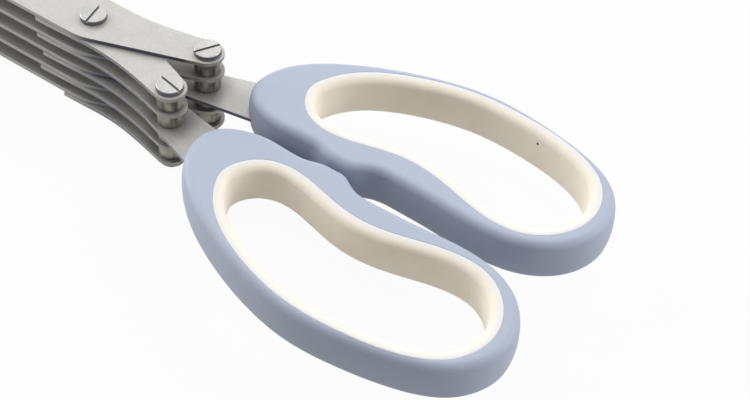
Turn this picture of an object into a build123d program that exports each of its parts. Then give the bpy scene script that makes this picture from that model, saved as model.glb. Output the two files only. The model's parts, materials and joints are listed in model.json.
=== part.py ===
"""Five-layer kitchen shears for herbs.

Two halves turn on one pivot. Each half is a stack of five stamped blades, held
apart by spacers on a rear post, and its middle blade runs on as a tang into a
moulded handle with a soft finger liner. The halves interleave, so five pairs of
blades cut at once.

Frame: the pivot axis is X = Y = 0, +X points to the blade tips, +Y is the left
half's side, +Z is up and Z = 0 is the underside of the pivot nut, on which the
shears lie. Lengths are in millimetres.
"""
from build123d import *
from math import cos, radians, sin
import os

# Blade stack
blade_layers = 5
blade_thickness = 0.9
running_gap = 0.05
pivot_spacer_length = 2.55
top_layer = 1
tang_layer = (top_layer + blade_layers) // 2

# Blade outline, for a right blade with its cutting edge on the -Y side
blade_reach = 80.0
ricasso_reach = 10.5
ricasso_half_width = 6.6
edge_step = 0.35
left_ricasso_shares = (1.0, 1.0, 0.88, 1.0, 0.4)
spine_half_width = 6.4
spine_straight_reach = 24.0
tip_half_width = 0.9
heel_waist_back = 9.0
heel_waist_half_width = 6.45
post_back = 25.4
post_side = 6.05
tail_radius = 3.5
tail_inner_angle = 20.0
tail_outer_angle = 14.0
shoulder_radius = 12.0

# Ground bevel of the cutting edge
bevel_width = 2.6
edge_land = 0.15

# Tang of the middle blade
tang_neck_back = 21.0
tang_neck_inner = 0.2
tang_neck_outer = 8.6
tang_end_back = 43.0
tang_end_inner = 4.2
tang_end_outer = 16.2
tang_corner_radius = 1.6
lock_hole_radius = 1.6
lock_hole_inset = 3.6
lock_hole_pitch = 5.6

# Fasteners
pivot_shank_radius = 2.0
post_shank_radius = 1.5
shank_clearance = 0.05
head_radius = 2.85
head_height = 1.15
head_edge_radius = 0.3
slot_width = 0.55
slot_depth = 0.5
pivot_slot_angle = -79.0
right_post_slot_angle = 61.0
left_post_slot_angle = -11.0
nut_radius = 2.85
nut_height = 1.15
spacer_radius = 2.75
spacer_chamfer = 0.2

# Handles
stop_gap = 0.3
handle_front = 35.4
handle_length = 76.0
handle_width = 35.5
handle_thickness = 9.6
handle_top_above_tang = 5.8
handle_edge_radius = 1.7
handle_crown = 0.6
handle_lean = 0.45
outline_places = 80
handle_outline_shares = [
    (0.000, 0.292),
    (0.029, 0.474),
    (0.105, 0.641),
    (0.239, 0.811),
    (0.391, 0.935),
    (0.534, 0.991),
    (0.678, 0.972),
    (0.825, 0.904),
    (0.941, 0.775),
    (1.000, 0.547),
    (0.989, 0.341),
    (0.949, 0.209),
    (0.882, 0.108),
    (0.774, 0.056),
    (0.672, 0.062),
    (0.593, 0.074),
    (0.528, 0.078),
    (0.479, 0.079),
    (0.448, 0.071),
    (0.424, 0.051),
    (0.408, 0.028),
    (0.396, 0.011),
    (0.386, 0.004),
    (0.368, 0.001),
    (0.348, 0.001),
    (0.326, 0.001),
    (0.310, 0.004),
    (0.300, 0.012),
    (0.289, 0.023),
    (0.274, 0.031),
    (0.235, 0.035),
    (0.166, 0.027),
    (0.074, 0.066),
    (0.013, 0.168),
]

# Finger loop, the outline where the liner meets the shell
loop_front_wall = 10.55
loop_rear_wall = 3.1
loop_side_wall = 2.1
loop_inner_wall = 4.75
loop_outline_shares = [
    (0.000, 0.407),
    (0.072, 0.647),
    (0.253, 0.882),
    (0.450, 0.994),
    (0.642, 0.989),
    (0.819, 0.912),
    (0.944, 0.753),
    (0.999, 0.459),
    (0.962, 0.200),
    (0.860, 0.026),
    (0.706, 0.020),
    (0.546, 0.111),
    (0.426, 0.136),
    (0.288, 0.077),
    (0.161, 0.029),
    (0.055, 0.101),
]
liner_thickness = 2.5
liner_lip_radius = 1.1
rib_height = 3.0
rib_depth = 0.8

# One overrun for every cut
overrun = 1.0

half_step = blade_thickness + running_gap
blade_pitch = pivot_spacer_length + 2 * half_step
post_spacer_length = blade_pitch - blade_thickness


def left_blade_bottom(layer):
    """Height of a left blade's underside, counting layers down from the top."""
    return nut_height + running_gap + (blade_layers - layer) * blade_pitch


def right_blade_bottom(layer):
    """Each right blade lies over its left partner with a running gap."""
    return left_blade_bottom(layer) + half_step


handle_top = left_blade_bottom(tang_layer) + blade_thickness / 2 + handle_top_above_tang
handle_bottom = handle_top - handle_thickness
right_post = Vector(-post_back, -post_side)


def along(angle):
    """Unit vector in plan at an angle from +X."""
    return Vector(cos(radians(angle)), sin(radians(angle)))


def mirrored(shape):
    """A left handle piece's mirror image, at the height of the right half."""
    return Pos(0, 0, half_step) * mirror(shape, about=Plane.XZ)


def blade_front_lines(heel_start, heel_angle, shoulder_start, edge_back):
    """Outline ahead of the tail: heel, ground edge, tip, spine and shoulder."""
    waist = Vector(-heel_waist_back, -heel_waist_half_width)
    ricasso_end = Vector(edge_back, -ricasso_half_width)
    edge_start = Vector(edge_back, edge_step - ricasso_half_width)
    tip_back = blade_reach - tip_half_width
    edge_end = Vector(tip_back, -tip_half_width)
    belly_end = Vector(tip_back, tip_half_width)
    spine_end = Vector(spine_straight_reach, spine_half_width)
    shoulder_rise = spine_half_width - shoulder_start.Y
    shoulder_slope = along(tail_inner_angle)
    shoulder = shoulder_start + shoulder_slope * (shoulder_rise / shoulder_slope.Y)
    return [
        Spline(heel_start, waist, ricasso_end, tangents=[along(heel_angle), Vector(1, 0)]),
        Line(ricasso_end, edge_start),
        Line(edge_start, edge_end),
        ThreePointArc(edge_end, Vector(blade_reach, 0), belly_end),
        TangentArc(spine_end, belly_end, tangent=Vector(1, 0)),
        FilletPolyline(spine_end, shoulder, shoulder_start, radius=shoulder_radius),
    ]


def plain_blade_face(edge_back):
    """A right blade whose tail ends in a round eye for the post."""
    heel_start = right_post + along(tail_outer_angle - 90) * tail_radius
    tail_end = right_post + along(tail_inner_angle - 180) * tail_radius
    shoulder_start = right_post + along(tail_inner_angle + 90) * tail_radius
    front = blade_front_lines(heel_start, tail_outer_angle, shoulder_start, edge_back)
    return make_face(front + [ThreePointArc(shoulder_start, tail_end, heel_start)])


def tang_blade_face(edge_back):
    """A right blade that flares behind the post into a tang with lock holes."""
    heel_start = Vector(-tang_neck_back, -tang_neck_outer)
    shoulder_start = Vector(-tang_neck_back, -tang_neck_inner)
    outer_corner = Vector(-tang_end_back, -tang_end_outer)
    inner_corner = Vector(-tang_end_back, -tang_end_inner)
    front = blade_front_lines(heel_start, tail_outer_angle, shoulder_start, edge_back)
    tang = FilletPolyline(shoulder_start, inner_corner, outer_corner, heel_start, radius=tang_corner_radius)
    face = make_face(front + [tang])
    tang_middle = (tang_end_inner + tang_end_outer) / 2
    for side in (-1, 1):
        hole = Pos(lock_hole_inset - tang_end_back, side * lock_hole_pitch / 2 - tang_middle)
        face -= hole * Circle(lock_hole_radius)
    return face


def edge_bevel(edge_back):
    """Wedge that grinds the top face of a right blade down to its cutting edge."""
    start = Vector(edge_back, edge_step - ricasso_half_width)
    end = Vector(blade_reach - tip_half_width, -tip_half_width)
    plane = Plane(origin=start, x_dir=Vector(0, 0, 1), z_dir=end - start)
    inward = plane.to_local_coords(start + Vector(0, 1, 0)).Y
    width = bevel_width if inward > 0 else -bevel_width
    rise = blade_thickness - edge_land
    section = Polyline(
        (edge_land, 0),
        (edge_land - rise, -width),
        (blade_thickness + rise, -width),
        (blade_thickness + rise, 2 * width),
        (blade_thickness, width),
        close=True,
    )
    return extrude(plane * make_face(section), (end - start).length + overrun)


def right_blade(layer, edge_back):
    """One stamped, pierced and ground blade of the right half at its height."""
    face = tang_blade_face(edge_back) if layer == tang_layer else plain_blade_face(edge_back)
    face -= Circle(pivot_shank_radius + shank_clearance)
    face -= Pos(right_post) * Circle(post_shank_radius + shank_clearance)
    blade = extrude(face, blade_thickness) - edge_bevel(edge_back)
    return Pos(0, 0, right_blade_bottom(layer)) * blade


def left_blade(layer, edge_back):
    """A left blade is a right one turned over, so its bevel faces down."""
    upright = Pos(0, 0, -right_blade_bottom(layer)) * right_blade(layer, edge_back)
    turned = Rot(180, 0, 0) * upright
    return Pos(0, 0, left_blade_bottom(layer) + blade_thickness) * turned


def screw(shank_radius, shank_bottom, head_seat, slot_angle):
    """Slotted cheese-head screw with a plain shank down to its nut."""
    shank = Pos(0, 0, shank_bottom) * extrude(Circle(shank_radius), head_seat - shank_bottom)
    head = Pos(0, 0, head_seat) * extrude(Circle(head_radius), head_height)
    head = fillet(head.edges().group_by(Axis.Z)[-1], head_edge_radius)
    slot = Rot(0, 0, slot_angle) * Box(2 * head_radius + overrun, slot_width, 2 * slot_depth)
    return head + shank - Pos(0, 0, head_seat + head_height) * slot


def nut(shank_radius, seat):
    """Round nut that closes the stack from below."""
    body = extrude(Circle(nut_radius) - Circle(shank_radius), nut_height)
    rim = body.edges().filter_by(GeomType.CIRCLE).group_by(Axis.Z)[0].sort_by(SortBy.RADIUS)[-1]
    return Pos(0, 0, seat - nut_height) * fillet(rim, head_edge_radius)


def spacer(shank_radius, bottom, length):
    """Turned sleeve between two layers."""
    tube = extrude(Circle(spacer_radius) - Circle(shank_radius + shank_clearance), length)
    rims = tube.edges().filter_by(GeomType.CIRCLE).sort_by(SortBy.RADIUS)[-2:]
    return Pos(0, 0, bottom) * chamfer(rims, spacer_chamfer)


def leaning(x, lean):
    """Sideways lean of a handle at X: all of it at the front, none at the rear."""
    return lean * (1 + (x + handle_front) / handle_length)


def handle_point(share, lean):
    """A point of the left handle's outline, from shares of its length and width."""
    x = -handle_front - share[0] * handle_length
    return (x, stop_gap / 2 + share[1] * handle_width + leaning(x, lean))


def loop_point(share, lean):
    """A point of the left finger loop's outline, from shares of the loop's box."""
    length = handle_length - loop_front_wall - loop_rear_wall
    width = handle_width - loop_side_wall - loop_inner_wall
    x = -handle_front - loop_front_wall - share[0] * length
    y = stop_gap / 2 + loop_inner_wall + share[1] * width
    return (x, y + leaning(x, lean))


def inset_outline(points, inset):
    """Closed face inside a smooth outline through the points, split in two halves."""
    outline = Spline(*points, periodic=True)
    up = Vector(0, 0, 1)
    places = [index / outline_places for index in range(outline_places)]
    moved = [outline @ place + up.cross(outline % place) * inset for place in places]
    edge = Spline(*moved, periodic=True).edge()
    return make_face([edge.trim(0, 0.5), edge.trim(0.5, 1)])


def left_liner(lean):
    """Soft ring that lines the finger loop, with a rib that locks in the shell."""
    loop = Spline(*[loop_point(share, lean) for share in loop_outline_shares], periodic=True)
    inward = Vector(0, 0, 1).cross(loop % 0)
    section_plane = Plane(origin=(loop @ 0) + Vector(0, 0, handle_bottom), x_dir=inward, z_dir=loop % 0)
    rib_bottom = (handle_thickness - rib_height) / 2
    rib_top = rib_bottom + rib_height
    section = make_face(
        Polyline(
            (0, 0),
            (liner_thickness, 0),
            (liner_thickness, handle_thickness),
            (0, handle_thickness),
            (0, rib_top),
            (-rib_depth, rib_top),
            (-rib_depth, rib_bottom),
            (0, rib_bottom),
            close=True,
        )
    )
    lip_corners = section.vertices().group_by(Axis.X)[-1]
    section = fillet(lip_corners, liner_lip_radius)
    return sweep(section_plane * section, path=Pos(0, 0, handle_bottom) * loop)


def left_shell(liner, lean):
    """Hard moulded handle around the liner, still without its tang slot."""
    points = [handle_point(share, lean) for share in handle_outline_shares]
    rim = inset_outline(points, handle_crown)
    middle = inset_outline(points, 0)
    middle_height = (handle_bottom + handle_top) / 2
    body = loft([Pos(0, 0, handle_bottom) * rim, Pos(0, 0, middle_height) * middle, Pos(0, 0, handle_top) * rim])
    rims = body.edges().group_by(Axis.Z)
    body = fillet(rims[0] + rims[-1], handle_edge_radius)
    loop_points = [loop_point(share, lean) for share in loop_outline_shares]
    opening = inset_outline(loop_points, (liner_thickness - liner_lip_radius) / 2)
    through = extrude(opening, handle_thickness + 2 * overrun)
    return body - Pos(0, 0, handle_bottom - overrun) * through - liner


def build_parts():
    """Every sub-part by its node name, in place."""
    parts = {}
    for layer in range(top_layer, top_layer + blade_layers):
        kind = "tang_blade" if layer == tang_layer else "blade_" + str(layer)
        share = left_ricasso_shares[(layer - top_layer) % len(left_ricasso_shares)]
        parts["right_" + kind] = right_blade(layer, ricasso_reach)
        parts["left_" + kind] = left_blade(layer, share * ricasso_reach)

    right_seat = right_blade_bottom(top_layer) + blade_thickness
    left_seat = left_blade_bottom(top_layer) + blade_thickness
    right_nut_seat = right_blade_bottom(blade_layers)
    left_nut_seat = left_blade_bottom(blade_layers)
    parts["pivot_screw"] = screw(pivot_shank_radius, 0, right_seat, pivot_slot_angle)
    parts["pivot_nut"] = nut(pivot_shank_radius, nut_height)
    at_right = Pos(right_post)
    at_left = Pos(right_post.X, -right_post.Y)
    right_shank_bottom = right_nut_seat - nut_height
    parts["right_post_screw"] = at_right * screw(
        post_shank_radius, right_shank_bottom, right_seat, right_post_slot_angle
    )
    parts["right_post_nut"] = at_right * nut(post_shank_radius, right_nut_seat)
    left_shank_bottom = left_nut_seat - nut_height
    parts["left_post_screw"] = at_left * screw(
        post_shank_radius, left_shank_bottom, left_seat, left_post_slot_angle
    )
    parts["left_post_nut"] = at_left * nut(post_shank_radius, left_nut_seat)
    for gap in range(top_layer, blade_layers):
        number = str(gap)
        lower_right = right_blade_bottom(gap + 1) + blade_thickness
        lower_left = left_blade_bottom(gap + 1) + blade_thickness
        parts["pivot_spacer_" + number] = spacer(pivot_shank_radius, lower_right, pivot_spacer_length)
        parts["right_post_spacer_" + number] = at_right * spacer(
            post_shank_radius, lower_right, post_spacer_length
        )
        parts["left_post_spacer_" + number] = at_left * spacer(
            post_shank_radius, lower_left, post_spacer_length
        )

    liner = left_liner(handle_lean)
    parts["left_handle_shell"] = left_shell(liner, handle_lean) - parts["left_tang_blade"]
    parts["left_handle_liner"] = liner
    liner = left_liner(-handle_lean)
    parts["right_handle_shell"] = mirrored(left_shell(liner, -handle_lean)) - parts["right_tang_blade"]
    parts["right_handle_liner"] = mirrored(liner)
    return parts


def main():
    os.makedirs("parts", exist_ok=True)
    for name, shape in build_parts().items():
        shape.label = name
        export_step(shape, "parts/" + name + ".step")


if __name__ == "__main__":
    main()
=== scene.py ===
"""Five-layer kitchen shears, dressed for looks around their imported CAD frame.

Run as a script, it makes every piece and the stage. The panel in the 3D view's
sidebar lists the same steps. Sizes are in metres, in the frame of the CAD model:
the pivot axis is X = Y = 0, +X points to the tips and the floor is Z = 0.
"""
import bmesh
import bpy
import json
import math
from bpy.props import FloatProperty, FloatVectorProperty, IntProperty, PointerProperty
from mathutils import Matrix, Vector

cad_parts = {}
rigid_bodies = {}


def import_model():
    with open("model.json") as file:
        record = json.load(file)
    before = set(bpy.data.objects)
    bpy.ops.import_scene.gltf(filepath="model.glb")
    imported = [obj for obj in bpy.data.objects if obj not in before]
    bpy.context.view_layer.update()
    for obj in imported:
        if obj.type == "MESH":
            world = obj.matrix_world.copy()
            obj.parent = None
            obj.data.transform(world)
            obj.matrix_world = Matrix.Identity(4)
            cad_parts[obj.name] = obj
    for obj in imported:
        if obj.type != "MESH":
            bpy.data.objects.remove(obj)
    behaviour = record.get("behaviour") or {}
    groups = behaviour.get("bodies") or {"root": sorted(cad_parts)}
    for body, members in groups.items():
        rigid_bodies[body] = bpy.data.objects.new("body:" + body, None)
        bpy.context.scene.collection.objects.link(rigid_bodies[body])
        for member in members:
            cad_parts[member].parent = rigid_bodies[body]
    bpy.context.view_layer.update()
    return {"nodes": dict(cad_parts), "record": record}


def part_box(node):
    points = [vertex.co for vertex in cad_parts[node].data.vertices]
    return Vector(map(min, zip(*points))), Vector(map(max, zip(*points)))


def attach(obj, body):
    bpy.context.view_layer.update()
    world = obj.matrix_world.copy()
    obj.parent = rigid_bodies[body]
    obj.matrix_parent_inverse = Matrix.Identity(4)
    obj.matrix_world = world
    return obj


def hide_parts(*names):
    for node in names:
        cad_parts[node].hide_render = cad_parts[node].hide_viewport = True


bl_info = {
    "name": "Kitchen Shears",
    "version": (1, 0, 0),
    "blender": (4, 5, 0),
    "location": "View3D > Sidebar > Shears",
    "description": "Makes the pieces, finishes and stage of five-layer kitchen shears",
    "category": "Add Mesh",
}

for startup_object in list(bpy.data.objects):
    bpy.data.objects.remove(startup_object)
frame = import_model()

MM = 0.001
HALVES = ("left", "right")
POSTS = ("left_post", "right_post")
AXES = ("pivot", *POSTS)
# Blades whose upright edges get deeper painted shade
DEEP_SHADED_EDGE_BLADES = ("right_blade_1", "right_tang_blade")

# Merging and shading of meshes
MERGE_DISTANCE = 0.001 * MM
FLAT_ANGLE = math.radians(0.1)
SHARP_ANGLE = math.radians(30)
SLEEVE_SHARP_ANGLE = math.radians(50)
LINER_SHARP_ANGLE = math.radians(40)
EDGE_BREAK_ANGLE = math.radians(40)
EDGE_BREAK_STEPS = 2
CHAMFER_STEPS = 3
LIP_STEPS = 10
WALL_STEPS = 8
LINER_CORNER = 0.12 * MM

# Grain of steel: scales are per metre, shares are what each noise adds to the tone
NOISE_MIDDLE = 0.5
CLOUD_SCALE = 260.0
MOTTLE_SCALE = 1600.0
LINE_SHARE = 0.35
CLOUD_SHARE = 0.35
MOTTLE_SHARE = 0.3
TONE_RANGE = (0.35, 0.65)
LINE_ROUGHNESS = 0.18
CLOUD_ROUGHNESS = 0.2

# Ground blades: the face ranges are of the normal's upright part, 1 on a level face,
# and the grit's radius is in cells of its pattern
BLADE_TONES = (0.9, 1.04)
BLADE_ROUGHNESS = 0.5
BLADE_METALLIC = 0.45
BLADE_GRAIN_DEPTH = 0.004 * MM
FLAT_FACE_RANGE = (0.985, 0.995)
# Upright edge faces take painted edge tones instead of the faces' grain
SHEARED_EDGE_RANGE = (0.25, 0.6)
# Edges ahead of this start on x are painted lighter, a painted reflection of lit floor
LIT_EDGE_START = (-6 * MM, 5 * MM)
# Painted shade round the posts, on faces below these heights and within these radii
SHELTERED_HEIGHT = (17 * MM, 18 * MM)
POST_SHADE_RADII = (2.5 * MM, 7 * MM)
EYE_FADE = 1 * MM
GRIT_SCALE = 420.0
GRIT_RADIUS = 0.09
GRIT_CHANCE = 0.06
GRIT_STRENGTH = 0.6

# Turned fasteners: depths are below the top of the screw's head
TURNED_TONES = (0.82, 1.05)
TURNED_ROUGHNESS = 0.42
TURNED_METALLIC = 0.6
TURNED_GRAIN_DEPTH = 0.006 * MM
UPRIGHT_SIDE_RANGE = (0.2, 0.8)
SLOT_BOTTOM_DEPTHS = (0.5 * MM, 0.2 * MM)
SLOT_ZONE_DEPTHS = (0.7 * MM, 0.65 * MM)
HEAD_SIDE_DEPTHS = (1.25 * MM, 1.15 * MM)
SLOT_REACH = 2.6 * MM
# Painted shade at the ends of each sleeve
RIM_SHADE_REACH = 0.9 * MM
RIM_SHADE_STRENGTH = 0.75
# Painted reflection streaks on the upright sides of the sleeves
STREAK_SCALE = 1.5
STREAK_CLIMB = 90.0
STREAK_RANGE = (0.35, 0.65)
SLEEVE_REFLECTION_TONES = (0.45, 1.8)

# Mouldings
FLOW_SCALE = 130.0
FLOW_RANGE = (0.3, 0.7)
FLOW_ROUGHNESS = 0.16
LEVEL_RIM_RANGE = (0.93, 1.0)
SCATTER_RADIUS = (1.0, 0.7, 0.4)
SCATTER_SCALE = 1.2 * MM

# Stage: lamps are given by their place, width and height in metres, and angles are in degrees
WHITE = (1, 1, 1, 1)
FLOOR_REACH = 3.0
LAMP_TARGET = (-0.04, 0.0, 0.01)
LAMPS = {
    "tip": ((0.7, 0.0, 0.5), 0.5, 0.5),
    "rear": ((-0.6, -0.4, 0.42), 0.5, 0.5),
    "far": ((0.25, -0.7, 0.5), 0.5, 0.5),
    "tip_fill": ((0.9, 0.1, 0.15), 0.4, 0.2),
    "top": ((0.0, 0.0, 0.9), 0.5, 0.5),
}
CAMERA_PLACE = (-0.17639, 0.18110, 0.2325)
CAMERA_HEADING = -52.318
CAMERA_PITCH = 46.72
CAMERA_ROLL = 0.3
CAMERA_CLIP_START = 0.01


def axis_centre(axis):
    """Plan position of a fastener's axis, from its screw."""
    low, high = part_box(axis + "_screw")
    return (low.x + high.x) / 2, (low.y + high.y) / 2


def body_with(node):
    """Name of the CAD body that holds a node."""
    for body, nodes in frame["record"]["behaviour"]["bodies"].items():
        if node in nodes:
            return body
    raise RuntimeError("no body holds " + node)


class ShearsSteel(bpy.types.PropertyGroup):
    blade_colour: FloatVectorProperty(
        name="Blade Colour", description="Brushed faces of the blades", subtype="COLOR",
        default=(0.48, 0.472, 0.45), min=0, max=1)
    # Painted light: edges ahead of the pivot are painted lighter, as a painted reflection of lit floor
    lit_edge_colour: FloatVectorProperty(
        name="Lit Edge Colour", description="Freshly ground edges ahead of the pivot",
        subtype="COLOR", default=(0.42, 0.41, 0.37), min=0, max=1)
    # Painted shade on the upright edges behind the pivot
    shaded_edge_colour: FloatVectorProperty(
        name="Edge Shade Colour", description="Stamped edges of the tails", subtype="COLOR",
        default=(0.24, 0.24, 0.27), min=0, max=1)
    # Deeper painted shade on the upright edges of the top blade and the far tang
    deep_shaded_edge_colour: FloatVectorProperty(
        name="Deep Edge Shade Colour", description="Darker edges of the top blade and the far tang",
        subtype="COLOR", default=(0.09, 0.09, 0.13), min=0, max=1)
    fastener_colour: FloatVectorProperty(
        name="Fastener Colour", description="Turned screws, nuts and sleeves", subtype="COLOR",
        default=(0.48, 0.475, 0.46), min=0, max=1)
    # Upright sides of the sleeves and nuts, painted darker than the turned tops as shade
    shaded_sleeve_colour: FloatVectorProperty(
        name="Shaded Sleeve Colour", description="Turned sides of the sleeves", subtype="COLOR",
        default=(0.22, 0.205, 0.175), min=0, max=1)
    eye_colour: FloatVectorProperty(
        name="Eye Colour", description="Edges of the blades' eyes round the posts", subtype="COLOR",
        default=(0.34, 0.325, 0.29), min=0, max=1)
    eye_reach: FloatProperty(
        name="Eye Reach", description="How far round a post the eye's edge goes", unit="LENGTH",
        default=4.4 * MM)
    # Painted shade on the upright sides of the screw heads
    head_side_shade_colour: FloatVectorProperty(
        name="Head Side Shade Colour", description="Turned sides of the screw heads", subtype="COLOR",
        default=(0.12, 0.12, 0.15), min=0, max=1)
    # Painted shade at the bottom of the screw slots
    slot_shade_colour: FloatVectorProperty(
        name="Slot Shade Colour", description="Dull steel in the screw slots", subtype="COLOR",
        default=(0.34, 0.34, 0.35), min=0, max=1)
    # Colour of the grit specks, and of the painted shade round the posts and at the sleeve ends
    soil_and_shade_colour: FloatVectorProperty(
        name="Soil And Shade Colour", description="Soil and stains in corners", subtype="COLOR",
        default=(0.14, 0.135, 0.13), min=0, max=1)
    # Painted shade on the lower blades round the posts
    post_shade: FloatProperty(
        name="Post Shade", description="Darkening of the lower blades round the posts", subtype="FACTOR",
        default=0.55, min=0, max=1)
    grain_spacing: FloatProperty(
        name="Grain Spacing", description="Distance between grinding lines", unit="LENGTH", default=0.12 * MM)
    grain_run: FloatProperty(
        name="Grain Run", description="Length of a grinding line", unit="LENGTH", default=4 * MM)
    ring_spacing: FloatProperty(
        name="Ring Spacing", description="Distance between turning rings", unit="LENGTH", default=0.16 * MM)
    blade_edge_break: FloatProperty(
        name="Blade Edge Break", description="Width of the broken edges", unit="LENGTH", default=0.1 * MM)
    fastener_edge_break: FloatProperty(
        name="Fastener Edge Break", description="Width of the slot's broken edges", unit="LENGTH",
        default=0.06 * MM)


class ShearsSleeves(bpy.types.PropertyGroup):
    pivot_bore: FloatProperty(
        name="Pivot Bore", description="Radius of the bore on the pivot", unit="LENGTH", default=2.05 * MM)
    post_bore: FloatProperty(
        name="Post Bore", description="Radius of the bore on a post", unit="LENGTH", default=1.55 * MM)
    chamfer: FloatProperty(
        name="Chamfer", description="Rounding of a sleeve's rims", unit="LENGTH", default=0.2 * MM)
    sides: IntProperty(
        name="Sides", description="Points round a sleeve", default=96, min=12)


class ShearsHandles(bpy.types.PropertyGroup):
    shell_colour: FloatVectorProperty(
        name="Shell Colour", description="Hard moulded handles", subtype="COLOR",
        default=(0.43, 0.478, 0.585), min=0, max=1)
    liner_colour: FloatVectorProperty(
        name="Liner Colour", description="Soft finger liners", subtype="COLOR",
        default=(0.955, 0.885, 0.765), min=0, max=1)
    # Level faces take this greyer colour; the walls' yellower liner colour is the cream plus painted light
    # bounced round the loop
    rim_colour: FloatVectorProperty(
        name="Rim Colour", description="Level top and bottom faces of the liners", subtype="COLOR",
        default=(0.83, 0.81, 0.80), min=0, max=1)
    speck_colour: FloatVectorProperty(
        name="Speck Colour", description="The one dark speck on the far liner", subtype="COLOR",
        default=(0.10, 0.09, 0.08), min=0, max=1)
    speck_place: FloatVectorProperty(
        name="Speck Place", description="Where the speck sits on the far liner", subtype="XYZ",
        unit="LENGTH", default=(-89.1 * MM, -30.2 * MM, 14.8 * MM))
    speck_size: FloatProperty(
        name="Speck Size", description="Radius of the speck", unit="LENGTH", default=0.4 * MM)
    skin_size: FloatProperty(
        name="Skin Size", description="Size of the grain of the mouldings", unit="LENGTH", default=0.25 * MM)
    liner_thickness: FloatProperty(
        name="Liner Thickness", description="Wall of the soft liner", unit="LENGTH", default=2.5 * MM)
    lip_across: FloatProperty(
        name="Lip Across", description="How far the rolled lip reaches across the wall", unit="LENGTH",
        default=1.9 * MM)
    lip_down: FloatProperty(
        name="Lip Down", description="How far the rolled lip reaches down the wall", unit="LENGTH",
        default=1.5 * MM)
    wall_bow: FloatProperty(
        name="Wall Bow", description="How much the wall bows towards the fingers", unit="LENGTH",
        default=0.12 * MM)
    rib_height: FloatProperty(
        name="Rib Height", description="Height of the rib that locks in the shell", unit="LENGTH",
        default=3.0 * MM)
    rib_depth: FloatProperty(
        name="Rib Depth", description="Depth of the rib that locks in the shell", unit="LENGTH",
        default=0.8 * MM)
    stations: IntProperty(
        name="Stations", description="Points round a finger loop", default=260, min=40)


class ShearsStage(bpy.types.PropertyGroup):
    floor_colour: FloatVectorProperty(
        name="Floor Colour", description="Colour the floor bounces on to the shears", subtype="COLOR",
        default=(0.6, 0.6, 0.6), min=0, max=1)
    floor_whiteness: FloatProperty(
        name="Floor Whiteness", description="Share of the floor that shows as plain white", subtype="FACTOR",
        default=0.95, min=0, max=1)
    sky_colour: FloatVectorProperty(
        name="Sky Colour", description="Soft light from all round", subtype="COLOR",
        default=(0.24, 0.24, 0.245), min=0, max=1)
    tip_power: FloatProperty(
        name="Tip Lamp", description="Power of the lamp beyond the blade tips", unit="POWER", default=3.7)
    rear_power: FloatProperty(
        name="Rear Lamp", description="Power of the lamp behind the far handle", unit="POWER", default=3.5)
    far_power: FloatProperty(
        name="Far Lamp", description="Power of the lamp beyond the far side", unit="POWER", default=1.5)
    tip_fill_power: FloatProperty(
        name="Low Tip Lamp", description="Power of the low lamp beyond the tips", unit="POWER", default=2.7)
    top_power: FloatProperty(
        name="Top Lamp", description="Power of the lamp overhead", unit="POWER", default=2.1)
    lamp_gloss: FloatProperty(
        name="Lamp Gloss", description="Share of the lamps' light that gloss shows", subtype="FACTOR",
        default=0.15, min=0, max=1)
    focal_length: FloatProperty(
        name="Focal Length", description="Lens of the camera, in millimetres", default=75.52)
    camera_shift: FloatProperty(
        name="Camera Shift", description="Sideways shift of the view, in picture widths", default=0.1907)


def wire(tree, kind, inputs, **settings):
    """A new node with its settings, and each input linked or set."""
    made = tree.nodes.new(kind)
    for key, value in settings.items():
        setattr(made, key, value)
    for key, value in inputs.items():
        if isinstance(value, bpy.types.NodeSocket):
            tree.links.new(value, made.inputs[key])
        else:
            made.inputs[key].default_value = value
    return made


def math_node(tree, operation, *values):
    """Output of a Math node."""
    return wire(tree, "ShaderNodeMath", dict(enumerate(values)), operation=operation).outputs[0]


def product(tree, value, *factors):
    """A value multiplied by each factor in turn."""
    for factor in factors:
        value = math_node(tree, "MULTIPLY", value, factor)
    return value


def vector_node(tree, operation, *values):
    """Vector output of a Vector Math node."""
    return wire(tree, "ShaderNodeVectorMath", dict(enumerate(values)), operation=operation).outputs[0]


def vector_value(tree, operation, *values):
    """Number output of a Vector Math node."""
    return wire(tree, "ShaderNodeVectorMath", dict(enumerate(values)), operation=operation).outputs[1]


def mix_colours(tree, factor, first, second):
    """Result of a colour mix."""
    return wire(tree, "ShaderNodeMix", {0: factor, 6: first, 7: second}, data_type="RGBA").outputs[2]


def ramp(tree, value, low, high):
    """0 below low, 1 above high, smooth between."""
    return wire(tree, "ShaderNodeMapRange", {"Value": value, "From Min": low, "From Max": high},
                interpolation_type="SMOOTHSTEP").outputs[0]


def fade(tree, value, low, high):
    """1 below low, 0 above high, smooth between."""
    return math_node(tree, "SUBTRACT", 1.0, ramp(tree, value, low, high))


def noise(tree, vector, scale, detail=2.0):
    """Value of a noise texture."""
    return wire(tree, "ShaderNodeTexNoise", {"Vector": vector, "Scale": scale, "Detail": detail}).outputs[0]


def swing(tree, value, size):
    """A noise value turned into a swing to both sides of zero."""
    return product(tree, math_node(tree, "SUBTRACT", value, NOISE_MIDDLE), size)


def opaque(colour, share=1.0):
    """A colour as a node wants it, with alpha."""
    return (*[part * share for part in colour], 1.0)


def new_group(name, kind, inputs, outputs):
    """An empty node group with its sockets, and its two end nodes."""
    tree = bpy.data.node_groups.new(name, kind)
    for direction, sockets in (("INPUT", inputs), ("OUTPUT", outputs)):
        for label, socket_type in sockets:
            tree.interface.new_socket(label, in_out=direction, socket_type=socket_type)
    return tree, tree.nodes.new("NodeGroupInput"), tree.nodes.new("NodeGroupOutput")


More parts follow.
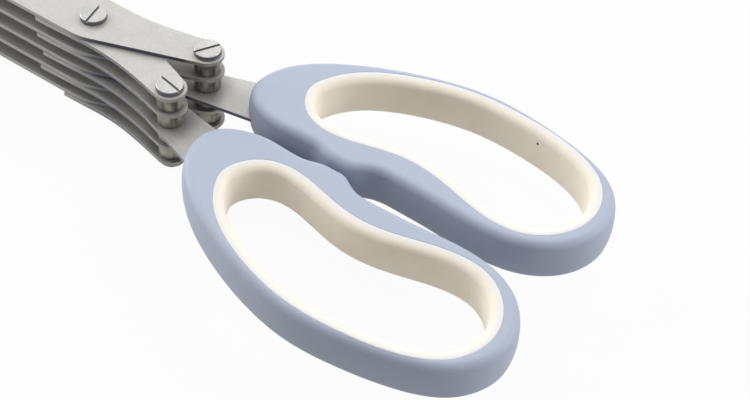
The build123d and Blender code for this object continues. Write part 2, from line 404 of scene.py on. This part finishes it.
def metal_grain_group():
    """Lines, clouds and mottle of steel. Lines takes coordinates in which a line is about 1 wide."""
    name = "Metal Grain"
    if name in bpy.data.node_groups:
        return bpy.data.node_groups[name]
    tree, start, end = new_group(
        name, "ShaderNodeTree",
        [("Lines", "NodeSocketVector"), ("Place", "NodeSocketVector"), ("Dull", "NodeSocketColor"),
         ("Bright", "NodeSocketColor"), ("Roughness", "NodeSocketFloat")],
        [("Color", "NodeSocketColor"), ("Roughness", "NodeSocketFloat"), ("Height", "NodeSocketFloat")])
    lines = noise(tree, start.outputs["Lines"], 1.0, detail=3.0)
    clouds = noise(tree, start.outputs["Place"], CLOUD_SCALE, detail=6.0)
    mottle = noise(tree, start.outputs["Place"], MOTTLE_SCALE)
    tone = math_node(tree, "ADD", product(tree, lines, LINE_SHARE), product(tree, clouds, CLOUD_SHARE))
    tone = math_node(tree, "ADD", tone, product(tree, mottle, MOTTLE_SHARE))
    colour = mix_colours(tree, ramp(tree, tone, *TONE_RANGE), start.outputs["Dull"], start.outputs["Bright"])
    uneven = math_node(tree, "ADD", swing(tree, lines, LINE_ROUGHNESS), swing(tree, clouds, CLOUD_ROUGHNESS))
    tree.links.new(colour, end.inputs["Color"])
    tree.links.new(math_node(tree, "ADD", start.outputs["Roughness"], uneven), end.inputs["Roughness"])
    tree.links.new(lines, end.inputs["Height"])
    return tree


def moulded_skin_group():
    """Fine skin and faint flow marks of a moulding."""
    name = "Moulded Skin"
    if name in bpy.data.node_groups:
        return bpy.data.node_groups[name]
    tree, start, end = new_group(
        name, "ShaderNodeTree",
        [("Place", "NodeSocketVector"), ("Skin Scale", "NodeSocketFloat"), ("Color", "NodeSocketColor"),
         ("Shade", "NodeSocketColor"), ("Roughness", "NodeSocketFloat")],
        [("Color", "NodeSocketColor"), ("Roughness", "NodeSocketFloat"), ("Height", "NodeSocketFloat")])
    flow = noise(tree, start.outputs["Place"], FLOW_SCALE, detail=3.0)
    skin = noise(tree, start.outputs["Place"], start.outputs["Skin Scale"])
    colour = mix_colours(tree, ramp(tree, flow, *FLOW_RANGE), start.outputs["Shade"], start.outputs["Color"])
    uneven = swing(tree, flow, FLOW_ROUGHNESS)
    tree.links.new(colour, end.inputs["Color"])
    tree.links.new(math_node(tree, "ADD", start.outputs["Roughness"], uneven), end.inputs["Roughness"])
    tree.links.new(skin, end.inputs["Height"])
    return tree


def cleared_tree(owner):
    """The empty node tree of a material or world."""
    owner.use_nodes = True
    owner.node_tree.nodes.clear()
    return owner.node_tree


def new_material(name):
    """A material whose tree holds one Principled shader, linked to the output."""
    material = bpy.data.materials.new(name)
    tree = cleared_tree(material)
    shader = tree.nodes.new("ShaderNodeBsdfPrincipled")
    wire(tree, "ShaderNodeOutputMaterial", {0: shader.outputs[0]})
    return material, tree, shader


def facing_level(tree):
    """1 on level faces, 0 on upright ones."""
    normal = tree.nodes.new("ShaderNodeNewGeometry").outputs["Normal"]
    return math_node(tree, "ABSOLUTE", wire(tree, "ShaderNodeSeparateXYZ", {0: normal}).outputs[2])


def object_place(tree):
    """Object coordinates, in metres."""
    return tree.nodes.new("ShaderNodeTexCoord").outputs["Object"]


def dress_shader(tree, shader, colour, texture, depth):
    """Feeds a shader a colour, a texture group's roughness, and its height as a bump of some depth."""
    bump = wire(tree, "ShaderNodeBump", {
        "Height": texture.outputs["Height"], "Distance": depth, "Strength": 1.0})
    tree.links.new(colour, shader.inputs["Base Color"])
    tree.links.new(texture.outputs["Roughness"], shader.inputs["Roughness"])
    tree.links.new(bump.outputs[0], shader.inputs["Normal"])


def steel_grain(tree, lines, place, colour, tones, roughness):
    """The shared grain group with its values for one kind of steel."""
    return wire(tree, "ShaderNodeGroup", {
        "Lines": lines, "Place": place, "Dull": opaque(colour, tones[0]), "Bright": opaque(colour, tones[1]),
        "Roughness": roughness}, node_tree=metal_grain_group())


def grit_mask(tree, place):
    """Rare small specks, in a few of a Voronoi texture's cells."""
    grit = wire(tree, "ShaderNodeTexVoronoi", {"Vector": place, "Scale": GRIT_SCALE})
    draw = wire(tree, "ShaderNodeSeparateColor", {0: grit.outputs["Color"]}).outputs[0]
    chosen = math_node(tree, "LESS_THAN", draw, GRIT_CHANCE)
    inside = math_node(tree, "LESS_THAN", grit.outputs["Distance"], GRIT_RADIUS)
    return product(tree, inside, chosen, GRIT_STRENGTH)


def blade_material(steel, name, edge_shade_colour):
    """Steel ground along the blade, across its bevels, with painted shade on the upright edges of the tail.

    The edges ahead of the pivot are painted lighter, as a painted reflection of lit floor. Faces below the
    top blades are painted darker round the posts, as painted shade.
    """
    material, tree, shader = new_material(name)
    place = object_place(tree)
    run, spacing = 1 / steel.grain_run, 1 / steel.grain_spacing
    along = vector_node(tree, "MULTIPLY", place, (run, spacing, spacing))
    across = vector_node(tree, "MULTIPLY", place, (spacing, run, run))
    level = facing_level(tree)
    flat = ramp(tree, level, *FLAT_FACE_RANGE)
    lines = wire(tree, "ShaderNodeMix", {0: flat, 4: across, 5: along}, data_type="VECTOR").outputs[1]
    grain = steel_grain(tree, lines, place, steel.blade_colour, BLADE_TONES, BLADE_ROUGHNESS)
    apart = wire(tree, "ShaderNodeSeparateXYZ", {0: place})
    # Painted reflection: upright edges turn lighter ahead of the pivot
    forward = ramp(tree, apart.outputs[0], *LIT_EDGE_START)
    sheltered = fade(tree, apart.outputs[2], *SHELTERED_HEIGHT)
    face = grain.outputs["Color"]
    edge = mix_colours(tree, forward, opaque(edge_shade_colour), opaque(steel.lit_edge_colour))
    plan = vector_node(tree, "MULTIPLY", place, (1, 1, 0))
    for post in POSTS:
        far_off = vector_value(tree, "DISTANCE", plan, (*axis_centre(post), 0))
        eye = fade(tree, far_off, steel.eye_reach, steel.eye_reach + EYE_FADE)
        edge = mix_colours(tree, eye, edge, opaque(steel.eye_colour))
        # Painted shade round each post on faces below the top blades
        post_shade = product(tree, fade(tree, far_off, *POST_SHADE_RADII), sheltered, steel.post_shade)
        face = mix_colours(tree, post_shade, face, opaque(steel.soil_and_shade_colour))
    # Upright faces take the painted edge shade and the painted lighter edge ahead of the pivot
    colour = mix_colours(tree, fade(tree, level, *SHEARED_EDGE_RANGE), face, edge)
    colour = mix_colours(tree, grit_mask(tree, place), colour, opaque(steel.soil_and_shade_colour))
    dress_shader(tree, shader, colour, grain, BLADE_GRAIN_DEPTH)
    shader.inputs["Metallic"].default_value = BLADE_METALLIC
    return material


def ramp_at_depths(tree, height, top, depths):
    """0 deeper below a top than the first depth, 1 above the second."""
    return ramp(tree, height, top - depths[0], top - depths[1])


def slot_shade_mask(tree, height, top, radius):
    """1 at the bottom of a screw's slot, where the painted shade goes."""
    deep = math_node(tree, "SUBTRACT", 1.0, ramp_at_depths(tree, height, top, SLOT_BOTTOM_DEPTHS))
    zone = ramp_at_depths(tree, height, top, SLOT_ZONE_DEPTHS)
    return product(tree, deep, zone, math_node(tree, "LESS_THAN", radius, SLOT_REACH))


def rim_shade_mask(tree, axis, height):
    """Painted shade at both ends of each sleeve on an axis."""
    low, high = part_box(axis + "_spacer_1")
    half = (high.z - low.z) / 2
    pitch = low.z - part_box(axis + "_spacer_2")[0].z
    above_middle = math_node(tree, "SUBTRACT", height, (low.z + high.z) / 2)
    off_middle = math_node(tree, "PINGPONG", above_middle, pitch / 2)
    return product(tree, ramp(tree, off_middle, half - RIM_SHADE_REACH, half), RIM_SHADE_STRENGTH)


def reflection_streaked_sleeve(tree, steel, spoke, height):
    """Colour of a sleeve's side, in upright painted reflection streaks that change as they climb."""
    direction = vector_node(tree, "NORMALIZE", spoke)
    climb = wire(tree, "ShaderNodeCombineXYZ", {2: product(tree, height, STREAK_CLIMB)}).outputs[0]
    streaks = noise(tree, vector_node(tree, "ADD", direction, climb), STREAK_SCALE)
    dark, pale = [opaque(steel.shaded_sleeve_colour, tone) for tone in SLEEVE_REFLECTION_TONES]
    return mix_colours(tree, ramp(tree, streaks, *STREAK_RANGE), dark, pale)


def turned_material(steel, axis):
    """Steel turned round one fastener's axis, with painted shade and painted reflection streaks on its
    upright sides, painted shade at the sleeve ends and at the bottom of the slot.
    """
    material, tree, shader = new_material("turned_steel_" + axis)
    x, y = axis_centre(axis)
    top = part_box(axis + "_screw")[1].z
    place = object_place(tree)
    centred = wire(tree, "ShaderNodeMapping", {"Vector": place, "Location": (-x, -y, 0)}).outputs[0]
    height = wire(tree, "ShaderNodeSeparateXYZ", {0: centred}).outputs[2]
    spoke = vector_node(tree, "MULTIPLY", centred, (1, 1, 0))
    radius = vector_value(tree, "LENGTH", spoke)
    rings = wire(tree, "ShaderNodeCombineXYZ", {
        0: math_node(tree, "DIVIDE", radius, steel.ring_spacing),
        1: math_node(tree, "DIVIDE", height, steel.ring_spacing)}).outputs[0]
    grain = steel_grain(tree, rings, place, steel.fastener_colour, TURNED_TONES, TURNED_ROUGHNESS)
    upright = fade(tree, facing_level(tree), *UPRIGHT_SIDE_RANGE)
    head_side = ramp_at_depths(tree, height, top, HEAD_SIDE_DEPTHS)
    sleeve = reflection_streaked_sleeve(tree, steel, spoke, height)
    # Upright sides of the heads take painted shade
    side = mix_colours(tree, head_side, sleeve, opaque(steel.head_side_shade_colour))
    # Upright faces are painted darker than the turned tops, as shade
    colour = mix_colours(tree, upright, grain.outputs["Color"], side)
    # Painted shade where the sleeves meet the blades
    rim_shade = product(tree, rim_shade_mask(tree, axis, height), upright)
    colour = mix_colours(tree, rim_shade, colour, opaque(steel.soil_and_shade_colour))
    # Painted shade at the bottom of the slot
    colour = mix_colours(tree, slot_shade_mask(tree, height, top, radius), colour, opaque(steel.slot_shade_colour))
    dress_shader(tree, shader, colour, grain, TURNED_GRAIN_DEPTH)
    shader.inputs["Metallic"].default_value = TURNED_METALLIC
    return material


def moulded_material(name, handles, colour, rim, *, shade, roughness, specular, skin_depth, softness):
    """A moulding's finish on the shared skin group, with level faces in the rim colour and the speck."""
    material, tree, shader = new_material(name)
    place = object_place(tree)
    skin = wire(tree, "ShaderNodeGroup", {
        "Place": place, "Skin Scale": 1 / handles.skin_size, "Color": opaque(colour),
        "Shade": opaque(colour, shade), "Roughness": roughness}, node_tree=moulded_skin_group())
    # On the liners the walls are yellower than the level faces, as painted bounced light
    level = ramp(tree, facing_level(tree), *LEVEL_RIM_RANGE)
    tone = mix_colours(tree, level, skin.outputs["Color"], opaque(rim))
    far_off = vector_value(tree, "DISTANCE", place, handles.speck_place)
    speck = fade(tree, far_off, handles.speck_size / 2, handles.speck_size)
    tone = mix_colours(tree, speck, tone, opaque(handles.speck_colour))
    dress_shader(tree, shader, tone, skin, skin_depth)
    shader.inputs["Specular IOR Level"].default_value = specular
    shader.inputs["Subsurface Weight"].default_value = softness
    shader.inputs["Subsurface Radius"].default_value = SCATTER_RADIUS
    shader.inputs["Subsurface Scale"].default_value = SCATTER_SCALE
    return material


def new_object(name, data):
    """An object at the origin for a mesh, lamp or camera, linked to the scene."""
    made = bpy.data.objects.new(name, data)
    bpy.context.scene.collection.objects.link(made)
    return made


def baked(made):
    """Turns an object's modifiers into its plain mesh."""
    evaluated = made.evaluated_get(bpy.context.evaluated_depsgraph_get())
    mesh = bpy.data.meshes.new_from_object(evaluated)
    made.modifiers.clear()
    made.data = mesh
    return made


def merged_shape(mesh):
    """A bmesh of a mesh, with its points merged."""
    shape = bmesh.new()
    shape.from_mesh(mesh)
    bmesh.ops.remove_doubles(shape, verts=shape.verts, dist=MERGE_DISTANCE)
    return shape


def write_shape(shape, mesh, sharp_angle):
    """Writes a bmesh into a mesh, smooth but for the edges past an angle."""
    shape.to_mesh(mesh)
    shape.free()
    mesh.shade_smooth()
    mesh.set_sharp_from_angle(angle=sharp_angle)


def merged_copy(node, name):
    """A copy of a CAD node with its points merged and its flat faces whole."""
    shape = merged_shape(frame["nodes"][node].data)
    bmesh.ops.dissolve_limit(shape, angle_limit=FLAT_ANGLE, verts=shape.verts, edges=shape.edges)
    mesh = bpy.data.meshes.new(name)
    write_shape(shape, mesh, SHARP_ANGLE)
    return new_object(name, mesh)


def edge_broken_copy(node, name, width):
    """A merged copy whose sharp edges are broken by a small bevel."""
    made = merged_copy(node, name)
    bevel = made.modifiers.new("Edge Break", "BEVEL")
    bevel.width = width
    bevel.segments = EDGE_BREAK_STEPS
    bevel.limit_method = "ANGLE"
    bevel.angle_limit = EDGE_BREAK_ANGLE
    bevel.harden_normals = True
    return baked(made)


def finish_piece(made, material, slot, *nodes):
    """Gives a piece its material and body, and hides the nodes it stands for. The slot is not used."""
    made.data.materials.clear()
    made.data.materials.append(material)
    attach(made, body_with(nodes[0]))
    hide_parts(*nodes)


class SHEARS_OT_blades(bpy.types.Operator):
    """Makes the ten ground blades from their CAD shapes, with broken edges"""
    bl_idname = "shears.blades"
    bl_label = "Ground Blades"

    def execute(self, context):
        steel = context.scene.shears_steel
        plain = blade_material(steel, "ground_blade_steel", steel.shaded_edge_colour)
        # The top blade and the far tang get deeper painted shade on their edges
        deep_shaded = blade_material(steel, "blued_edge_blade_steel", steel.deep_shaded_edge_colour)
        for node in [name for name in frame["nodes"] if "blade" in name]:
            made = edge_broken_copy(node, node + "_ground", steel.blade_edge_break)
            finish_piece(made, deep_shaded if node in DEEP_SHADED_EDGE_BLADES else plain, "blade_steel", node)
        return {"FINISHED"}


class SHEARS_OT_screws(bpy.types.Operator):
    """Makes the slotted screws and the nuts from their CAD shapes, with turned faces"""
    bl_idname = "shears.screws"
    bl_label = "Screws and Nuts"

    def execute(self, context):
        steel = context.scene.shears_steel
        for axis in AXES:
            material = turned_material(steel, axis)
            for part in ("_screw", "_nut"):
                made = edge_broken_copy(axis + part, axis + part + "_turned", steel.fastener_edge_break)
                finish_piece(made, material, "fastener_steel", axis + part)
        return {"FINISHED"}


def end_tree(tree, geometry, material, end):
    """Ends a geometry tree: its instances are realised and get their material."""
    whole = wire(tree, "GeometryNodeRealizeInstances", {"Geometry": geometry})
    dressed = wire(tree, "GeometryNodeSetMaterial", {"Geometry": whole.outputs[0], "Material": material})
    tree.links.new(dressed.outputs[0], end.inputs[0])
    return tree


def sleeve_stack_tree():
    """Geometry nodes that stand one turned sleeve on every point of a mesh."""
    tree, start, end = new_group(
        "Sleeve Stack", "GeometryNodeTree",
        [("Geometry", "NodeSocketGeometry"), ("Bore Radius", "NodeSocketFloat"),
         ("Outer Radius", "NodeSocketFloat"), ("Length", "NodeSocketFloat"), ("Chamfer", "NodeSocketFloat"),
         ("Sides", "NodeSocketInt"), ("Material", "NodeSocketMaterial")],
        [("Geometry", "NodeSocketGeometry")])
    value = start.outputs
    wall = math_node(tree, "SUBTRACT", value["Outer Radius"], value["Bore Radius"])
    both = math_node(tree, "ADD", value["Outer Radius"], value["Bore Radius"])
    path = wire(tree, "GeometryNodeCurvePrimitiveCircle", {
        "Resolution": value["Sides"], "Radius": product(tree, both, 0.5)})
    section = wire(tree, "GeometryNodeCurvePrimitiveQuadrilateral", {
        "Width": wall, "Height": value["Length"]})
    rounded = wire(tree, "GeometryNodeFilletCurve", {
        "Curve": section.outputs[0], "Radius": value["Chamfer"], "Count": CHAMFER_STEPS}, mode="POLY")
    sleeve = wire(tree, "GeometryNodeCurveToMesh", {
        "Curve": path.outputs[0], "Profile Curve": rounded.outputs[0]})
    placed = wire(tree, "GeometryNodeInstanceOnPoints", {
        "Points": value["Geometry"], "Instance": sleeve.outputs[0]})
    return end_tree(tree, placed.outputs[0], value["Material"], end)


def run_tree(made, tree, values):
    """Runs a geometry node tree on an object with its named inputs, and bakes it."""
    modifier = made.modifiers.new(tree.name, "NODES")
    modifier.node_group = tree
    sockets = {item.name: item.identifier for item in tree.interface.items_tree if item.in_out == "INPUT"}
    for label, value in values.items():
        modifier[sockets[label]] = value
    return baked(made)


def face_outwards(mesh, sharp_angle):
    """Points a closed mesh's faces outwards and shades it by angle."""
    shape = merged_shape(mesh)
    bmesh.ops.recalc_face_normals(shape, faces=shape.faces)
    write_shape(shape, mesh, sharp_angle)


class SHEARS_OT_sleeves(bpy.types.Operator):
    """Makes the spacer sleeves of the pivot and of both posts, one mesh for each stack"""
    bl_idname = "shears.sleeves"
    bl_label = "Spacer Sleeves"

    def execute(self, context):
        sleeves = context.scene.shears_sleeves
        tree = sleeve_stack_tree()
        for axis in AXES:
            nodes = sorted(name for name in frame["nodes"] if name.startswith(axis + "_spacer"))
            boxes = [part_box(node) for node in nodes]
            low, high = boxes[0]
            mesh = bpy.data.meshes.new(axis + "_sleeves")
            mesh.from_pydata([(box[0] + box[1]) / 2 for box in boxes], [], [])
            made = new_object(axis + "_sleeves", mesh)
            material = bpy.data.materials["turned_steel_" + axis]
            run_tree(made, tree, {
                "Bore Radius": sleeves.pivot_bore if axis == "pivot" else sleeves.post_bore,
                "Outer Radius": (high.x - low.x) / 2, "Length": high.z - low.z,
                "Chamfer": sleeves.chamfer, "Sides": sleeves.sides, "Material": material})
            face_outwards(made.data, SLEEVE_SHARP_ANGLE)
            finish_piece(made, material, "fastener_steel", *nodes)
        return {"FINISHED"}


class SHEARS_OT_shells(bpy.types.Operator):
    """Gives the hard handle shells their matt moulded finish"""
    bl_idname = "shears.shells"
    bl_label = "Handle Shells"

    def execute(self, context):
        handles = context.scene.shears_handles
        material = moulded_material(
            "matt_blue_moulding", handles, handles.shell_colour, handles.shell_colour,
            shade=0.96, roughness=0.5, specular=0.35, skin_depth=0.006 * MM, softness=0.0)
        for half in HALVES:
            shell = frame["nodes"][half + "_handle_shell"]
            for slot in shell.material_slots:
                slot.material = material
        return {"FINISHED"}


def liner_loop(node):
    """Outer rim of a CAD liner's flat underside, anticlockwise from above."""
    shape = merged_shape(frame["nodes"][node].data)
    floor = min(vert.co.z for vert in shape.verts)
    flat = {face for face in shape.faces if all(vert.co.z < floor + MERGE_DISTANCE for vert in face.verts)}
    rims = [edge for edge in shape.edges if sum(face in flat for face in edge.link_faces) == 1]
    neighbours = {}
    for edge in rims:
        for vert in edge.verts:
            neighbours.setdefault(vert, []).append(edge.other_vert(vert))
    first = max(neighbours, key=lambda vert: vert.co.x)
    loop, last, here = [first], None, first
    while True:
        onward = [vert for vert in neighbours[here] if vert is not last]
        last, here = here, onward[0]
        if here is first:
            break
        loop.append(here)
    points = [vert.co.copy() for vert in loop]
    shape.free()
    area = sum(a.x * b.y - b.x * a.y for a, b in zip(points, points[1:] + points[:1]))
    return points if area > 0 else points[::-1]


def lip_arc(handles, height, upper):
    """Rolled lip of a liner's section, between its flat end and its finger wall."""
    reach = handles.liner_thickness - handles.wall_bow
    points = []
    for step in range(LIP_STEPS + 1):
        angle = math.pi / 2 * step / LIP_STEPS
        across = reach - handles.lip_across * (1 - math.cos(angle))
        down = handles.lip_down * (1 - math.sin(angle))
        points.append((across, height - down if upper else down))
    return points if upper else points[::-1]


def liner_section(handles, height):
    """Closed section of a liner: x runs from the shell to the fingers, y up from the underside."""
    middle = height / 2
    half_wall = middle - handles.lip_down
    rib_low, rib_high = middle - handles.rib_height / 2, middle + handles.rib_height / 2
    points = [(0, LINER_CORNER), (LINER_CORNER, 0)] + lip_arc(handles, height, False)
    for step in range(1, WALL_STEPS):
        share = 2 * step / WALL_STEPS - 1
        points.append((handles.liner_thickness - handles.wall_bow * share ** 2, middle + share * half_wall))
    points += lip_arc(handles, height, True) + [(LINER_CORNER, height), (0, height - LINER_CORNER)]
    points += [(0, rib_high), (-handles.rib_depth, rib_high), (-handles.rib_depth, rib_low), (0, rib_low)]
    return points


def closed_line(name, points):
    """A mesh of one closed line through points."""
    count = len(points)
    mesh = bpy.data.meshes.new(name)
    mesh.from_pydata(points, [(index, (index + 1) % count) for index in range(count)], [])
    return new_object(name, mesh)


def liner_tree():
    """Geometry nodes that sweep a section round a closed loop."""
    tree, start, end = new_group(
        "Liner Sweep", "GeometryNodeTree",
        [("Geometry", "NodeSocketGeometry"), ("Section", "NodeSocketObject"), ("Stations", "NodeSocketInt"),
         ("Material", "NodeSocketMaterial")],
        [("Geometry", "NodeSocketGeometry")])
    value = start.outputs
    line = wire(tree, "GeometryNodeMeshToCurve", {"Mesh": value["Geometry"]})
    even = wire(tree, "GeometryNodeResampleCurve", {"Curve": line.outputs[0], "Count": value["Stations"]})
    upright = wire(tree, "GeometryNodeSetCurveNormal", {"Curve": even.outputs[0]}, mode="Z_UP")
    section = wire(tree, "GeometryNodeObjectInfo", {"Object": value["Section"]})
    outline = wire(tree, "GeometryNodeMeshToCurve", {"Mesh": section.outputs["Geometry"]})
    swept = wire(tree, "GeometryNodeCurveToMesh", {
        "Curve": upright.outputs[0], "Profile Curve": outline.outputs[0]})
    return end_tree(tree, swept.outputs[0], value["Material"], end)


class SHEARS_OT_liners(bpy.types.Operator):
    """Makes the soft finger liners by sweeping their lipped section round each loop"""
    bl_idname = "shears.liners"
    bl_label = "Finger Liners"

    def execute(self, context):
        handles = context.scene.shears_handles
        material = moulded_material(
            "soft_cream_liner", handles, handles.liner_colour, handles.rim_colour,
            shade=0.95, roughness=0.6, specular=0.3, skin_depth=0.008 * MM, softness=0.25)
        tree = liner_tree()
        for half in HALVES:
            node = half + "_handle_liner"
            low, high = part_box(node)
            height = high.z - low.z
            section = closed_line("section", [(-x, -y, 0) for x, y in liner_section(handles, height)])
            made = closed_line(half + "_finger_liner", liner_loop(node))
            run_tree(made, tree, {"Section": section, "Stations": handles.stations, "Material": material})
            bpy.data.objects.remove(section)
            face_outwards(made.data, LINER_SHARP_ANGLE)
            finish_piece(made, material, "finger_liner", node)
        return {"FINISHED"}


def seen_directly(tree):
    """1 for camera, glossy and transmission rays."""
    path = tree.nodes.new("ShaderNodeLightPath").outputs
    glossy = math_node(tree, "MAXIMUM", path["Is Camera Ray"], path["Is Glossy Ray"])
    return math_node(tree, "MAXIMUM", glossy, path["Is Transmission Ray"])


def floor_material(stage):
    """Pale floor that shows white to the camera and in gloss, and keeps a faint shadow."""
    material = bpy.data.materials.new("studio_floor")
    tree = cleared_tree(material)
    matt = wire(tree, "ShaderNodeBsdfDiffuse", {"Color": opaque(stage.floor_colour)})
    white = wire(tree, "ShaderNodeEmission", {"Color": WHITE, "Strength": 1.0})
    factor = product(tree, seen_directly(tree), stage.floor_whiteness)
    both = wire(tree, "ShaderNodeMixShader", {0: factor, 1: matt.outputs[0], 2: white.outputs[0]})
    wire(tree, "ShaderNodeOutputMaterial", {0: both.outputs[0]})
    return material


def studio_world(stage):
    """Soft light from all round that shows white to the camera and in gloss."""
    world = bpy.data.worlds.new("studio")
    tree = cleared_tree(world)
    sky = wire(tree, "ShaderNodeBackground", {"Color": opaque(stage.sky_colour), "Strength": 1.0})
    white = wire(tree, "ShaderNodeBackground", {"Color": WHITE, "Strength": 1.0})
    both = wire(tree, "ShaderNodeMixShader", {
        0: seen_directly(tree), 1: sky.outputs[0], 2: white.outputs[0]})
    wire(tree, "ShaderNodeOutputWorld", {0: both.outputs[0]})
    return world


def area_lamp(stage, name):
    """One of the stage's soft rectangular lamps, pointed at the shears."""
    place, width, height = LAMPS[name]
    data = bpy.data.lights.new(name + "_lamp", "AREA")
    data.shape = "RECTANGLE"
    data.size = width
    data.size_y = height
    data.energy = getattr(stage, name + "_power")
    data.specular_factor = stage.lamp_gloss
    lamp = new_object(name + "_lamp", data)
    lamp.location = place
    lamp.rotation_euler = (Vector(LAMP_TARGET) - Vector(place)).to_track_quat("-Z", "Y").to_euler()


def camera_matrix(place, heading, pitch, roll):
    """Camera placed by its heading, its downward pitch and its roll, in degrees."""
    heading, pitch, roll = math.radians(heading), math.radians(pitch), math.radians(roll)
    forward = Vector((
        math.cos(heading) * math.cos(pitch), math.sin(heading) * math.cos(pitch), -math.sin(pitch)))
    level = Vector((math.sin(heading), -math.cos(heading), 0))
    upward = level.cross(forward)
    right = math.cos(roll) * level + math.sin(roll) * upward
    up = math.cos(roll) * upward - math.sin(roll) * level
    turn = Matrix((right, up, -forward)).transposed().to_4x4()
    return Matrix.Translation(place) @ turn


class SHEARS_OT_stage(bpy.types.Operator):
    """Makes the floor, the white surroundings, the lamps and the camera"""
    bl_idname = "shears.stage"
    bl_label = "Stage"

    def execute(self, context):
        stage = context.scene.shears_stage
        reach = FLOOR_REACH
        corners = [(-reach, -reach, 0), (reach, -reach, 0), (reach, reach, 0), (-reach, reach, 0)]
        mesh = bpy.data.meshes.new("studio_floor")
        mesh.from_pydata(corners, [], [(0, 1, 2, 3)])
        mesh.materials.append(floor_material(stage))
        new_object("studio_floor", mesh)
        context.scene.world = studio_world(stage)
        for name in LAMPS:
            area_lamp(stage, name)

        data = bpy.data.cameras.new("camera")
        data.lens = stage.focal_length
        data.shift_x = stage.camera_shift
        data.clip_start = CAMERA_CLIP_START
        camera = new_object("camera", data)
        camera.matrix_world = camera_matrix(CAMERA_PLACE, CAMERA_HEADING, CAMERA_PITCH, CAMERA_ROLL)
        context.scene.camera = camera
        context.scene.view_settings.view_transform = "Standard"
        return {"FINISHED"}


class SHEARS_PT_panel(bpy.types.Panel):
    """Lists the steps that make the shears"""
    bl_idname = "SHEARS_PT_panel"
    bl_label = "Kitchen Shears"
    bl_space_type = "VIEW_3D"
    bl_region_type = "UI"
    bl_category = "Shears"

    def draw(self, context):
        for step in STEPS:
            self.layout.operator(step.bl_idname)
        for group in GROUPS:
            values = getattr(context.scene, group)
            box = self.layout.box()
            for name in values.bl_rna.properties.keys():
                if name not in ("rna_type", "name"):
                    box.prop(values, name)


STEPS = (SHEARS_OT_blades, SHEARS_OT_screws, SHEARS_OT_sleeves, SHEARS_OT_shells, SHEARS_OT_liners,
         SHEARS_OT_stage)
GROUPS = {"shears_steel": ShearsSteel, "shears_sleeves": ShearsSleeves, "shears_handles": ShearsHandles,
          "shears_stage": ShearsStage}


def register():
    for group in GROUPS.values():
        bpy.utils.register_class(group)
    for step in STEPS:
        bpy.utils.register_class(step)
    bpy.utils.register_class(SHEARS_PT_panel)
    for name, group in GROUPS.items():
        setattr(bpy.types.Scene, name, PointerProperty(type=group))


def unregister():
    for name in GROUPS:
        delattr(bpy.types.Scene, name)
    for kind in (SHEARS_PT_panel, *STEPS[::-1], *GROUPS.values()):
        bpy.utils.unregister_class(kind)


def main():
    register()
    bpy.ops.shears.blades()
    bpy.ops.shears.screws()
    bpy.ops.shears.sleeves()
    bpy.ops.shears.shells()
    bpy.ops.shears.liners()
    bpy.ops.shears.stage()


if __name__ == "__main__":
    main()
